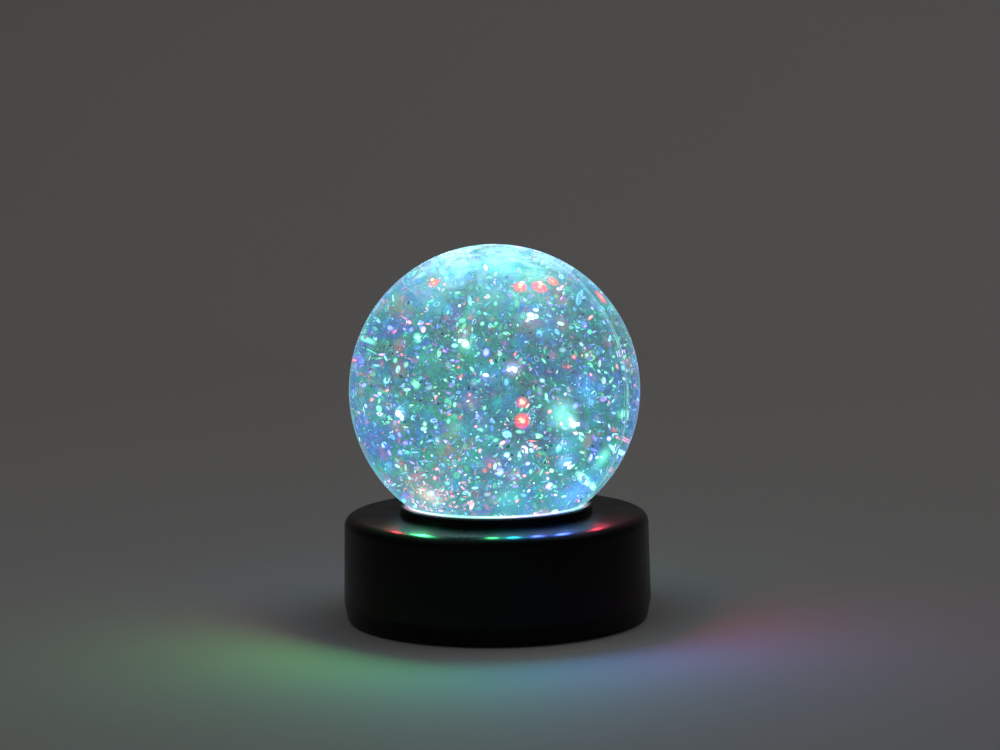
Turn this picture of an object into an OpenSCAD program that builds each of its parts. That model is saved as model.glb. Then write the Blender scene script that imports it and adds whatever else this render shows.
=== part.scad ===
// Light-up glitter globe: a sealed ball of water and glitter on a round battery base.
// Millimetres, +Z up, front towards -Y. Origin: the middle of the footprint, on the table.

/* [Globe] */
// Outside diameter of the globe
globe_d = 100; // [99:0.2:101]
// Thickness of the globe's wall
globe_wall = 2.0; // [1.6:0.1:2.4]
// Height of the globe's centre above the table
globe_z = 79.2; // [79:0.1:79.6]
// Direction of the seam between the half shells, in degrees from +X
seam_turn = -26.7; // [-90:0.1:90]
// Outside radius of the neck under the globe
neck_r = 22.0; // [21.6:0.1:22.3]

/* [Base] */
// Widest radius of the base, at the top of its tucked-in lower edge
base_r = 53.1; // [52.8:0.1:54.5]
// Radius of the base where the shoulder begins
shoulder_at_r = 52.5; // [52.2:0.1:53.5]
// Radius of the base at its lower rim
foot_r = 52.1; // [51.6:0.1:52.7]
// Height of the widest place
belt_z = 6.9; // [5:0.1:9]
// Height of the flat top of the base
deck_z = 36.6; // [36.3:0.1:36.9]
// Radius of the rounded shoulder
shoulder_r = 3.6; // [2.6:0.1:5]
// Thickness of the base's wall and top
wall = 2.4; // [2:0.1:2.6]

/* [Collar] */
// Outside radius of the ring that the globe sits in
collar_r = 33.2; // [32.6:0.1:34]
// Height of the ring's top edge
collar_z = 39.8; // [39.4:0.1:40.2]

/* [Batteries] */
// Diameter of an AAA cell
cell_d = 10.5; // [10:0.1:10.5]
// Length of an AAA cell with its button
cell_len = 44.5; // [43.5:0.1:44.6]

/* [Drive] */
// Radius at which the magnets sit, on the motor and on the impeller
magnet_at = 7.5; // [7.4:0.1:8]
// Number of impeller blades
blades = 6; // [3:1:8]

/* [Lights] */
// Radius of the circle that the lights stand on
light_at = 17.4; // [17:0.1:17.6]

/* [Hidden] */
$fn = 96;

far = 200;              // longer than anything here, for cutting tools
bite = 0.5;             // how far a cutting tool runs past a face
slip = 0.05;            // radial clearance of a running fit

// Heights of the stack inside the base, from the table up
foot_gap = 1.0;         // the feet hold the base this far off the table
plate_top = 3.2;        // upper face of the base plate
can_bottom = 5.2;       // motor: end cap below this, steel can above
can_top = 18.0;         // the inner deck rests on the can
inner_deck_top = 19.6;
board_top = 20.8;       // the circuit board lies on the inner deck
carrier_bottom = 20.2;
carrier_top = 24.0;
window_lip = 24.5;      // underside of the clear window
neck_end = 26.0;        // lower rim of the globe's neck
window_top = 29.0;      // floor of the water
impeller_bottom = 30.7;
disc_top = 33.2;        // upper face of the impeller's disc
blade_top = 35.6;
guard_top = 38.2;
water_floor = 39.4;     // the swirling water is taken as all that lies above the guard

neck_wall = 2.0;
neck_bore = neck_r - neck_wall;
deck_under = deck_z - wall;
rim_r = base_r - wall - 0.4;        // inner radius of the housing's wall, all the way down
deck_hole_r = collar_r - 1.6;

// Battery box: three cells side by side, along Y, to the right of the motor
cell_pitch = 11.0;
box_x0 = 8.1;
box_x1 = box_x0 + 3 * cell_pitch;
box_y = 24.75;          // half the cavity's length
box_wall = 1.3;
cavity_top = 14.5;
box_top = 15.8;
cell_z = 9.0;
contact_t = 0.4;
cell_shift = box_y - contact_t - cell_len / 2;      // each cell's button rests on its contact

// Battery door
door_t = 1.8;
door_gap = 0.25;
hinge_y = -23.3;
hinge_z = 2.3;
knuckle_r = 1.15;
stub_r = 0.8;
stub_len = 1.0;
tab_x = box_x0 + 1.5 * cell_pitch;
tab_y = 28.6;
tab_r = 4.0;

// Fixings
corner_at = 45.5;       // circle of the four base screws
corner_turns = [45, 135, 225, 315];
post_at = 26.0;         // circle of the three posts under the inner deck
post_turns = [90, 210, 330];
foot_x = 16.8;
foot_y = 39.6;

// Switch, in the rear wall
switch_z = 17.0;
switch_travel = 4.0;
switch_face_y = 49.1;   // front of the switch's metal plate
screw_x = 8.0;          // half the distance between the switch's screws

light_turns = [0, 60, 120];         // each colour stands at one of these and opposite it

// ---- Shapes that are used more than once ----

module ring(r_out, r_in, z0, z1) {
    translate([0, 0, z0]) difference() {
        cylinder(r = r_out, h = z1 - z0);
        translate([0, 0, -bite]) cylinder(r = r_in, h = z1 - z0 + 2 * bite);
    }
}

module disc(r, z0, z1) {
    translate([0, 0, z0]) cylinder(r = r, h = z1 - z0);
}

module around(turns, at) {
    for (turn = turns) rotate([0, 0, turn]) translate([at, 0, 0]) children();
}

module torus(at, r) {
    rotate_extrude() translate([at, 0]) circle(r = r, $fn = 32);
}

// A cross-head screw standing on its head, its head's outer face at z = 0
module screw(head_r, head_h, shank_r, len) {
    slot_w = 0.4 * head_r;
    difference() {
        union() {
            cylinder(r = head_r, h = head_h);
            cylinder(r = shank_r, h = len);
            translate([0, 0, len]) cylinder(r1 = shank_r, r2 = shank_r / 3, h = shank_r);
        }
        for (turn = [0, 90]) rotate([0, 0, turn])
            translate([-0.7 * head_r, -slot_w / 2, -bite]) cube([1.4 * head_r, slot_w, bite + 0.6 * head_h]);
    }
}

// A round wire along a list of points, with its cross-section carried along without twisting
function unit(v) = v / norm(v);
function heading(p, i) = unit(p[min(i + 1, len(p) - 1)] - p[max(i - 1, 0)]);
function across(n, t) = unit(n - (n * t) * t);
function sides_of(p) = [
    for (i = 0, n = across([0.3, 0.2, 1], heading(p, 0));
         i < len(p);
         i = i + 1, n = across(n, heading(p, min(i, len(p) - 1)))) n
];

module wire(p, r, sides = 8) {
    n = sides_of(p);
    last = len(p) - 1;
    skin = [
        for (i = [0 : last], k = [0 : sides - 1])
            let (t = heading(p, i), b = cross(t, n[i]), a = 360 * k / sides)
                p[i] + r * (cos(a) * n[i] + sin(a) * b)
    ];
    walls = [
        for (i = [0 : last - 1], k = [0 : sides - 1])
            let (a = i * sides + k, b = i * sides + (k + 1) % sides) [a, a + sides, b + sides, b]
    ];
    near_cap = [for (k = [0 : sides - 1]) k];
    far_cap = [for (k = [sides - 1 : -1 : 0]) last * sides + k];
    polyhedron(points = skin, faces = concat(walls, [near_cap], [far_cap]), convexity = 8);
}

// A smooth curve through a few chosen points
steps = 6;
function between(a, b, c, d, t) =
    0.5 * (2 * b + (c - a) * t + (2 * a - 5 * b + 4 * c - d) * t * t + (3 * b - a - 3 * c + d) * t * t * t);
function curve(q) = concat([
    for (i = [0 : len(q) - 2], s = [0 : steps - 1])
        between(q[max(i - 1, 0)], q[i], q[i + 1], q[min(i + 2, len(q) - 1)], s / steps)
], [q[len(q) - 1]]);

// ---- Globe ----

// One half of the ball and its neck, on the +Y side of the seam before it is turned
module globe_half(turn) {
    r_out = globe_d / 2;
    r_in = r_out - globe_wall;
    seam_w = 1.4;
    seam_t = 0.7;
    rotate([0, 0, turn]) intersection() {
        difference() {
            union() {
                translate([0, 0, globe_z]) sphere(r = r_out);
                disc(neck_r, neck_end, globe_z - r_out + 8);
            }
            difference() {
                translate([0, 0, globe_z]) sphere(r = r_in);
                // the seam's inner rib: a strip of wall left thicker on each side of the joint
                difference() {
                    translate([-far, -seam_w, water_floor + 2]) cube([2 * far, 2 * seam_w, far]);
                    translate([0, 0, globe_z]) sphere(r = r_in - seam_t);
                }
            }
            disc(neck_bore, neck_end - bite, globe_z - r_out + 10);
        }
        translate([-far, 0, 0]) cube([2 * far, far, far]);
    }
}

module globe_half_front() {
    color([0.8, 0.9, 0.92, 0.3]) globe_half(seam_turn + 180);
}

module globe_half_rear() {
    color([0.8, 0.9, 0.92, 0.3]) globe_half(seam_turn);
}

seal_r = 0.8;           // the O-ring's own radius
seal_z = 27.5;

// Clear plug that closes the neck: a lip under the neck's rim, and a boss for the impeller's pin
module globe_window() {
    color([0.85, 0.92, 0.95, 0.4]) difference() {
        union() {
            disc(neck_r, window_lip, neck_end);
            disc(neck_bore - 0.2, neck_end, window_top);
            disc(3, window_top, impeller_bottom - 0.3);
        }
        disc(pin_r, window_top - 1.5, impeller_bottom);
        ring(neck_bore + 1, neck_bore - 2 * seal_r, seal_z - seal_r, seal_z + seal_r);
    }
}

module window_seal() {
    color("dimgray") translate([0, 0, seal_z]) torus(neck_bore - seal_r, seal_r);
}

pin_r = 1.0;

module impeller_pin() {
    color("silver") disc(pin_r, window_top - 1.5, blade_top + 1.2);
}

module pin_cap() {
    color("white") difference() {
        disc(2.2, blade_top + 0.2, blade_top + 1.8);
        disc(pin_r, blade_top, blade_top + 1.2);
    }
}

// Slotted clear cover over the impeller, standing on the window
module impeller_guard() {
    r_out = 17.6;
    guard_wall = 1.2;
    color([0.85, 0.92, 0.95, 0.4]) difference() {
        disc(r_out, window_top, guard_top);
        disc(r_out - guard_wall, window_top - bite, guard_top - guard_wall);
        // round intake over the middle, and a crown of slots where the water leaves
        disc(5, guard_top - 2 * guard_wall, guard_top + bite);
        for (turn = [0 : 30 : 330]) rotate([0, 0, turn])
            translate([8, -1.1, guard_top - 2 * guard_wall]) cube([6.5, 2.2, 4 * guard_wall]);
        for (turn = [0 : 30 : 330]) rotate([0, 0, turn + 15])
            translate([r_out - 2 * guard_wall, -2, disc_top]) cube([4 * guard_wall, 4, 3]);
    }
}

impeller_r = 12.4;
impeller_magnet_r = 3.4;

module impeller() {
    hub_r = 3.0;
    blade_t = 1.2;
    color("white") difference() {
        union() {
            disc(impeller_r, impeller_bottom, disc_top);
            disc(hub_r, impeller_bottom, blade_top);
            for (i = [0 : blades - 1]) rotate([0, 0, 360 * i / blades])
                translate([hub_r - bite, -blade_t / 2, disc_top - bite])
                    cube([impeller_r - hub_r - 0.5 + bite, blade_t, blade_top - disc_top + bite]);
        }
        disc(pin_r + slip, impeller_bottom - bite, blade_top + bite);
        around([0, 180], magnet_at) disc(impeller_magnet_r, impeller_bottom - bite, disc_top - 0.5);
    }
}

module impeller_magnets() {
    color("silver") around([0, 180], magnet_at)
        disc(impeller_magnet_r, impeller_bottom + 0.1, disc_top - 0.5);
}

// The body of water and glitter that swirls: a ball a little smaller than the globe's inside
module glitter_water() {
    gap = 1.1;
    color([0.6, 0.85, 0.9, 0.4]) intersection() {
        translate([0, 0, globe_z]) sphere(r = globe_d / 2 - globe_wall - gap);
        disc(globe_d, water_floor, globe_z + globe_d);
    }
}

// ---- Collar and neck ----

gasket_r = 0.9;
gasket_z = 37.2;
// The gasket's circle lies where it just touches the ball
gasket_at = sqrt((globe_d / 2 + gasket_r) ^ 2 - (globe_z - gasket_z) ^ 2);

module collar_ring() {
    edge = 0.5;
    seat_gap = 0.1;
    color([0.03, 0.03, 0.03]) difference() {
        union() {
            rotate_extrude() polygon([
                [neck_r, deck_z], [collar_r, deck_z], [collar_r, collar_z - edge],
                [collar_r - edge, collar_z], [neck_r, collar_z]
            ]);
            disc(deck_hole_r - 0.2, deck_under + 0.1, deck_z + bite);
        }
        translate([0, 0, globe_z]) sphere(r = globe_d / 2 + seat_gap);
        disc(neck_r + 0.3, deck_under - bite, deck_z + 2);
        translate([0, 0, gasket_z]) torus(gasket_at, gasket_r + 0.02);
    }
}

module globe_gasket() {
    color("dimgray") translate([0, 0, gasket_z]) torus(gasket_at, gasket_r);
}

// Ring cemented on the neck under the base's top: it draws the ball down into the collar
module neck_ring() {
    flange_bottom = deck_under - 2.6;
    hub_bottom = flange_bottom - 3.4;
    color([0.1, 0.1, 0.1]) difference() {
        union() {
            disc(deck_hole_r + 3.6, flange_bottom, deck_under);
            disc(neck_r + 4.5, hub_bottom, flange_bottom + bite);
        }
        disc(neck_r + 0.1, hub_bottom - bite, deck_under + bite);
        around([0 : 45 : 315], neck_r + 4.5) disc(1.6, hub_bottom - bite, flange_bottom);
    }
}

// ---- Base housing ----

corner_boss_r = 3.3;
corner_boss_z = 4.4;
pilot_r = 1.15;

module base_housing() {
    lower_edge = 0.5;
    color([0.03, 0.03, 0.03]) difference() {
        union() {
            difference() {
                rotate_extrude() difference() {
                    union() {
                        polygon([
                            [0, foot_gap], [foot_r - lower_edge, foot_gap], [foot_r, foot_gap + lower_edge],
                            [base_r, belt_z], [shoulder_at_r, deck_z - shoulder_r],
                            [shoulder_at_r - shoulder_r, deck_z - shoulder_r],
                            [shoulder_at_r - shoulder_r, deck_z], [0, deck_z]
                        ]);
                        translate([shoulder_at_r - shoulder_r, deck_z - shoulder_r]) circle(r = shoulder_r);
                    }
                    square([rim_r, deck_under]);
                }
                disc(deck_hole_r, deck_under - bite, deck_z + bite);
            }
            around(corner_turns, corner_at) disc(corner_boss_r, corner_boss_z, deck_under + bite);
            // bosses for the switch's screws
            for (side = [-1, 1]) translate([side * screw_x, switch_face_y, switch_z]) rotate([-90, 0, 0])
                cylinder(r = 2, h = 2);
        }
        around(corner_turns, corner_at) disc(pilot_r, corner_boss_z - bite, corner_boss_z + 10);
        for (side = [-1, 1]) translate([side * screw_x, switch_face_y - bite, switch_z]) rotate([-90, 0, 0])
            cylinder(r = 0.75, h = 2 + bite);
        // shallow flat pocket round the switch, and the slot that its knob slides in
        translate([-8, base_r - 1.6, switch_z - 4]) cube([16, 4, 8]);
        translate([-slot_half, rim_r - 2, switch_z - knob_h / 2 - 0.3]) cube([2 * slot_half, 6, knob_h + 0.6]);
    }
}

// ---- Inner deck and lights ----

deck_r = 29.4;
post_r = 3.0;

module inner_deck() {
    color([0.15, 0.15, 0.16]) difference() {
        union() {
            disc(deck_r, can_top, inner_deck_top);
            // a low fence that centres the circuit board
            ring(24.9, 23.8, inner_deck_top - bite, inner_deck_top + 0.8);
        }
        disc(can_boss_r + 0.2, can_top - bite, inner_deck_top + bite);
        around(post_turns, post_at) disc(1.15, can_top - bite, inner_deck_top + bite);
        around(post_turns, post_at) disc(2.1, inner_deck_top, inner_deck_top + 2);
        // notch that the wires come up through
        translate([-30, -1.5, can_top - bite]) cube([7.5, 7, 4]);
    }
}

module deck_screws() {
    color("silver") around(post_turns, post_at)
        translate([0, 0, inner_deck_top + 1.4]) rotate([180, 0, 0]) screw(2.0, 1.4, 1.0, 6);
}

module led_board() {
    color("darkgreen") ring(23.6, 13.8, inner_deck_top, board_top);
}

// One light: a square package with a clear dome
module led(turn) {
    package = 3.5;
    package_h = 0.9;
    dome_r = 1.45;
    around([turn, turn + 180], light_at) {
        translate([-package / 2, -package / 2, board_top]) cube([package, package, package_h]);
        intersection() {
            translate([0, 0, board_top + package_h]) sphere(r = dome_r);
            disc(dome_r + 1, board_top + package_h - 0.1, board_top + 4);
        }
    }
}

module led_red() {
    color("red") led(light_turns[0]);
}

module led_green() {
    color("lime") led(light_turns[1]);
}

module led_blue() {
    color("blue") led(light_turns[2]);
}

// The driver chip and the small parts round it
module board_parts() {
    color([0.12, 0.12, 0.12]) {
        rotate([0, 0, 30]) translate([light_at - 1.6, -2, board_top]) cube([3.2, 4, 1.1]);
        for (turn = [92, 150, 212, 268, 330]) rotate([0, 0, turn])
            translate([light_at - 0.5, -0.9, board_top]) cube([1, 1.8, 0.5]);
    }
}

module light_reflector() {
    color("white") ring(21.6, 20.4, board_top, window_lip - 0.2);
}

// ---- Motor ----

can_r = 6.0;
can_flat = 5.0;         // half the distance across the can's flats
can_wall = 0.6;
can_boss_r = 2.0;
shaft_r = 0.75;

module can_shape(r, flat, z0, z1) {
    intersection() {
        disc(r, z0, z1);
        translate([-flat, -far, z0]) cube([2 * flat, 2 * far, z1 - z0]);
    }
}

module motor_can() {
    color("silver") difference() {
        union() {
            can_shape(can_r, can_flat, can_bottom, can_top);
            disc(can_boss_r, can_top - bite, can_top + 1);
        }
        can_shape(can_r - can_wall, can_flat - can_wall, can_bottom - bite, can_top - can_wall);
        disc(shaft_r + slip, can_top - 2, can_top + 2);
    }
}

module motor_end_cap() {
    color("ivory") difference() {
        union() {
            can_shape(can_r, can_flat, plate_top, can_bottom);
            can_shape(can_r - can_wall, can_flat - can_wall, can_bottom - bite, can_bottom + 0.8);
        }
        disc(shaft_r + slip, can_bottom - 1, can_bottom + 2);
    }
}

module motor_magnets() {
    color("dimgray") difference() {
        can_shape(can_r - can_wall, can_flat - can_wall, can_bottom + 1.4, can_top - 1.4);
        disc(3.9, can_bottom, can_top);
        translate([-far, -2.2, can_bottom]) cube([2 * far, 4.4, can_top - can_bottom]);
    }
}

module motor_armature() {
    armature_r = 3.5;
    color([0.72, 0.45, 0.2]) difference() {
        disc(armature_r, can_bottom + 2, can_top - 2);
        disc(shaft_r, can_bottom, can_top);
        for (turn = [0, 120, 240]) rotate([0, 0, turn])
            translate([1.8, -0.4, can_bottom]) cube([armature_r, 0.8, can_top - can_bottom]);
    }
}

module motor_shaft() {
    color("silver") disc(shaft_r, can_bottom - 0.8, carrier_top - 0.6);
}

drive_magnet_r = 4.0;

module magnet_carrier() {
    color("ivory") difference() {
        disc(12.4, carrier_bottom, carrier_top);
        disc(shaft_r, carrier_bottom - bite, carrier_top - 0.6);
        around([0, 180], magnet_at) disc(drive_magnet_r, carrier_top - 3, carrier_top + bite);
    }
}

module drive_magnets() {
    color("silver") around([0, 180], magnet_at) disc(drive_magnet_r, carrier_top - 3, carrier_top - 0.1);
}

// ---- Switch ----

knob_w = 4.6;
knob_h = 3.4;
slot_half = (knob_w + switch_travel) / 2 + 0.25;
switch_plate_t = 0.5;
body_front = switch_face_y - switch_plate_t;

// A closed box with a slotted metal plate on its front
module switch_body() {
    color("silver") difference() {
        union() {
            translate([-10.2, body_front, switch_z - 2.9]) cube([20.4, switch_plate_t, 5.8]);
            translate([-6, body_front - 5.5, switch_z - 2.9]) cube([12, 5.5, 5.8]);
            for (x = [-4, 0, 4]) translate([x - 0.6, body_front - 8.5, switch_z - 0.3]) cube([1.2, 3.5, 0.6]);
        }
        translate([-4.6, body_front - 4, switch_z - knob_h / 2 - 0.15]) cube([9.2, 10, knob_h + 0.3]);
        for (side = [-1, 1]) translate([side * screw_x, body_front - bite, switch_z]) rotate([-90, 0, 0])
            cylinder(r = 0.8, h = 2);
    }
}

module switch_screws() {
    color("silver") for (side = [-1, 1]) translate([side * screw_x, body_front - 0.9, switch_z])
        rotate([-90, 0, 0]) screw(1.4, 0.9, 0.7, 2.4);
}

// The knob, at the "on" end of its slot, with three grip ribs
module switch_slider() {
    on_x = switch_travel / 2;
    knob_tip = base_r - 0.3;
    ribs = [-1.3, 0, 1.3];
    color([0.12, 0.12, 0.12]) difference() {
        translate([on_x - knob_w / 2, body_front - 3.8, switch_z - knob_h / 2])
            cube([knob_w, knob_tip - body_front + 3.8, knob_h]);
        for (x = ribs) translate([on_x + x - 0.3, knob_tip - 0.4, switch_z - knob_h])
            cube([0.6, 1, 2 * knob_h]);
    }
}

// ---- Batteries ----

// Cells 0 and 2 point their button towards -Y, and cell 1 towards +Y
function cell_x(i) = box_x0 + cell_pitch * (i + 0.5);
function cell_side(i) = i == 1 ? 1 : -1;

module battery_cell(i) {
    button_h = 0.9;
    can_len = cell_len - button_h;
    side = cell_side(i);
    translate([cell_x(i), side * cell_shift, cell_z]) rotate([-90 * side, 0, 0]) {
        translate([0, 0, -cell_len / 2]) {
            color("goldenrod") cylinder(r = cell_d / 2, h = can_len);
            color("silver") translate([0, 0, can_len]) cylinder(r = 1.9, h = button_h);
        }
    }
}

module battery_cell_1() {
    battery_cell(0);
}

module battery_cell_2() {
    battery_cell(1);
}

module battery_cell_3() {
    battery_cell(2);
}

// A cone-shaped coil from its contact to the flat end of its cell
module battery_springs() {
    turns = 3.5;
    per_turn = 14;
    spring_wire = 0.35;
    flat_end = cell_len - box_y + contact_t;
    for (i = [0 : 2]) {
        side = -cell_side(i);
        y0 = side * (box_y - contact_t - spring_wire);
        y1 = side * (flat_end + spring_wire);
        color("silver") wire([
            for (k = [0 : turns * per_turn])
                let (s = k / (turns * per_turn), a = 360 * k / per_turn, r = 3.8 - 1.8 * s)
                    [cell_x(i) + r * cos(a), y0 + (y1 - y0) * s, cell_z + r * sin(a)]
        ], spring_wire, 6);
    }
}

module battery_contacts() {
    plate_w = 8.0;
    plate_h = 8.0;
    color("silver") for (side = [-1, 1]) {
        // on each end wall one plate joins two cells and the other serves one
        pair_from = side < 0 ? cell_x(1) : cell_x(0);
        single = side < 0 ? cell_x(0) : cell_x(2);
        y = side < 0 ? -box_y : box_y - contact_t;
        translate([pair_from - plate_w / 2, y, cell_z - plate_h / 2])
            cube([cell_pitch + plate_w, contact_t, plate_h]);
        translate([single - plate_w / 2, y, cell_z - plate_h / 2]) cube([plate_w, contact_t, plate_h]);
    }
}

// ---- Wires inside the base ----

lead_r = 0.65;
pad_at = 22.6;          // circle of the solder pads, outside the reflector
function pad(turn) = [pad_at * cos(turn), pad_at * sin(turn), board_top + lead_r];

module battery_lead_positive() {
    color("red") wire(curve([
        [6.0, -21, 11.5], [3.5, -22, 11.5], [-4, -21, 11], [-12, -17, 11], [-18, -8, 12],
        [-26.4, 0, 16], [-26.3, 1.2, 19.5], [-24.8, 1.6, 22], pad(176)
    ]), lead_r);
}

module battery_lead_negative() {
    color([0.08, 0.08, 0.08]) wire(curve([
        [34.5, 26.8, 10], [34, 27.2, 13], [27, 27.6, 17.2], [21, 24, 20.5], [17.8, 18.5, 22.2], pad(48)
    ]), lead_r);
}

module switch_lead() {
    color("red") wire(curve([
        [0, 39.4, 17], [-1, 37.5, 17.2], [-8, 34, 19.6], [-13, 28, 22], [-14, 22, 22.6], pad(125)
    ]), lead_r);
}

module motor_leads() {
    color("gold") wire(curve([
        [-2, -8.2, 4.4], [-6, -9, 4.6], [-16, -6, 5.4], [-26, 0, 10], [-27.8, 4, 16], [-27.6, 4.6, 20],
        [-25, 5, 22.2], pad(167)
    ]), lead_r);
    color("gold") wire(curve([
        [-2, 8.2, 4.4], [-6, 9, 4.6], [-16, 9, 5.4], [-26, 6.8, 9], [-29.6, 5.8, 14], [-29.5, 4.7, 20],
        [-26, 7.2, 22.4], pad(158)
    ]), lead_r);
}

// ---- Underside ----

plate_r = rim_r - 0.2;

module base_plate() {
    color([0.06, 0.06, 0.06]) difference() {
        union() {
            disc(plate_r, foot_gap, plate_top);
            intersection() {
                translate([box_x0 - box_wall, -box_y - box_wall, foot_gap])
                    cube([box_x1 - box_x0 + 2 * box_wall, 2 * (box_y + box_wall), box_top - foot_gap]);
                disc(plate_r, foot_gap, box_top);
            }
            around(corner_turns, corner_at) disc(corner_boss_r + 0.9, foot_gap, corner_boss_z);
            around(post_turns, post_at) disc(post_r, foot_gap, can_top);
            // wall round the foot of the motor
            translate([-can_flat - 1.2, -can_r - 1.2, foot_gap])
                cube([2 * can_flat + 2.4, 2 * can_r + 2.4, 8]);
            translate([tab_x, tab_y, 0]) {
                disc(tab_r + 1.2, foot_gap, corner_boss_z);
                disc(3.2, foot_gap, 9);
            }
        }
        // battery cavity, open downwards
        translate([box_x0, -box_y, 0]) cube([box_x1 - box_x0, 2 * box_y, cavity_top]);
        // recess for the door's screw tab
        translate([tab_x, tab_y, 0]) disc(tab_r + door_gap, 0, foot_gap + door_t + 0.2);
        translate([tab_x - tab_r - door_gap, box_y - bite, 0])
            cube([2 * (tab_r + door_gap), tab_y - box_y + bite, foot_gap + door_t + 0.2]);
        translate([tab_x, tab_y, 0]) disc(1.5, 0, 8.4);
        // the door's hinge stubs turn in these
        translate([box_x0 - stub_len - 0.2, hinge_y, hinge_z]) rotate([0, 90, 0])
            cylinder(r = stub_r + slip, h = box_x1 - box_x0 + 2 * (stub_len + 0.2));
        can_shape(can_r + 0.1, can_flat + 0.1, plate_top, can_top);
        around(corner_turns, corner_at) {
            disc(1.4, 0, corner_boss_z + 1);
            disc(2.8, 0, foot_gap + 1.9);
        }
        around(post_turns, post_at) disc(1.05, can_top - 7.5, can_top + 1);
        for (x = [-foot_x, foot_x], y = [-foot_y, foot_y]) translate([x, y, 0]) disc(4.7, 0, foot_gap + 0.7);
        // the motor's wires leave through these notches in the wall round it
        for (y = [-can_r - 1.7, can_r - 0.3]) translate([-3, y, plate_top]) cube([2, 2, 2.2]);
    }
}

module base_screws() {
    color("silver") around(corner_turns, corner_at)
        translate([0, 0, foot_gap + 0.2]) screw(2.5, 1.7, 1.1, 10);
}

module rubber_feet() {
    color([0.1, 0.1, 0.1]) for (x = [-foot_x, foot_x], y = [-foot_y, foot_y]) translate([x, y, 0]) {
        translate([0, 0, 0.4]) cylinder(r = 4.6, h = foot_gap + 0.3);
        cylinder(r1 = 4.2, r2 = 4.6, h = 0.4);
    }
}

module battery_door() {
    door_x0 = box_x0 + door_gap;
    door_x1 = box_x1 - door_gap;
    door_y1 = box_y - door_gap;
    color([0.07, 0.07, 0.07]) difference() {
        union() {
            translate([door_x0, hinge_y, foot_gap]) cube([door_x1 - door_x0, door_y1 - hinge_y, door_t]);
            translate([door_x0, hinge_y, hinge_z]) rotate([0, 90, 0])
                cylinder(r = knuckle_r, h = door_x1 - door_x0);
            translate([box_x0 - stub_len, hinge_y, hinge_z]) rotate([0, 90, 0])
                cylinder(r = stub_r, h = box_x1 - box_x0 + 2 * stub_len);
            translate([tab_x, tab_y, 0]) disc(tab_r, foot_gap, foot_gap + door_t);
            translate([tab_x - tab_r, door_y1 - bite, foot_gap])
                cube([2 * tab_r, tab_y - door_y1 + bite, door_t]);
        }
        translate([tab_x, tab_y, 0]) {
            disc(1.25, 0, foot_gap + 4);
            disc(2.7, 0, foot_gap + 1.2);
        }
        // finger grip: three grooves across the door's free end
        for (i = [0 : 2]) translate([tab_x - 7, door_y1 - 6 + 2 * i, 0]) cube([14, 0.8, foot_gap + 0.4]);
    }
}

module door_screw() {
    color("silver") translate([tab_x, tab_y, foot_gap + 0.1]) screw(2.4, 1.1, 1.1, 6);
}

// ---- Assembly ----

globe_half_front();
globe_half_rear();
globe_window();
window_seal();
impeller_pin();
pin_cap();
impeller_guard();
impeller();
impeller_magnets();
glitter_water();
collar_ring();
globe_gasket();
neck_ring();
base_housing();
inner_deck();
deck_screws();
led_board();
board_parts();
led_red();
led_green();
led_blue();
light_reflector();
motor_can();
motor_end_cap();
motor_magnets();
motor_armature();
motor_shaft();
magnet_carrier();
drive_magnets();
switch_body();
switch_screws();
switch_slider();
battery_cell_1();
battery_cell_2();
battery_cell_3();
battery_springs();
battery_contacts();
battery_lead_positive();
battery_lead_negative();
switch_lead();
motor_leads();
base_plate();
base_screws();
rubber_feet();
battery_door();
door_screw();
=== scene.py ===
import math
import random

import bmesh
import bpy
from mathutils import Matrix, Vector


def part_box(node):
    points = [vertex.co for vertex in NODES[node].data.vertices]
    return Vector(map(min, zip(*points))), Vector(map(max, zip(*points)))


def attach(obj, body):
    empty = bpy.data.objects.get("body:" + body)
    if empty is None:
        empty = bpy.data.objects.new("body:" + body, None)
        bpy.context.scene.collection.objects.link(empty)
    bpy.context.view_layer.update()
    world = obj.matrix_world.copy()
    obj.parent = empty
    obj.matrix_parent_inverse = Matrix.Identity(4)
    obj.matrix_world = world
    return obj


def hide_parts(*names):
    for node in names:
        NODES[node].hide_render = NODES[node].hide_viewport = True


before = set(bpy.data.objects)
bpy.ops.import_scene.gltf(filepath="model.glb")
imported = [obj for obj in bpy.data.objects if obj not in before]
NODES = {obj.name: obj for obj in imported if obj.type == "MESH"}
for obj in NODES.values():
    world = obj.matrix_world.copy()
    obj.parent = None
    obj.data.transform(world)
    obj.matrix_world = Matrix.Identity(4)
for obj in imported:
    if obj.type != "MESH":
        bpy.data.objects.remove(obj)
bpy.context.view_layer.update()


# ---------------------------------------------------------------- sizes and places, in metres

MM = 0.001
SEED = 20

GLOBE_R = 50 * MM
GLOBE_WALL = 2 * MM
NECK_R = 22 * MM
NECK_BORE = 20 * MM
SEAM_TURN = math.radians(-26.7)
NECK_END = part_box("globe_half_front")[0].z
GLOBE_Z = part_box("globe_half_front")[1].z - GLOBE_R
COLLAR_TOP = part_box("collar_ring")[1].z
WATER_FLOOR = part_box("glitter_water")[0].z

RIB_REACH, RIB_SLOPE, RIB_HEIGHT = 0.85, 0.3, 0.22  # mm: the low rib inside the wall, along the seam
GROOVE_REACH, GROOVE_SLOPE, GROOVE_DEPTH = 0.24, 0.16, 0.08  # mm: the fine groove outside, along the seam
# The bright lines at the rib's edges are painted highlights in the wall's glow.
SEAM_HIGHLIGHT_HALF = 0.22 * MM  # half the width of the bright line at each edge of the rib
WALL_IOR = 1.46  # the clear wall against air
WET_IOR = 1.10  # the same wall against the water
PATCH_TILT = math.radians(-6.5)  # turns the patches' own grid a little upward, about the X axis
RED_ENOUGH = 0.7  # a patch with more red than this is a red one
HOT_RADIUS, HOT_REACH, HOT_LIMIT = 7, 41, 43  # mm: patches with bright flakes behind them are no larger than
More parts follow.
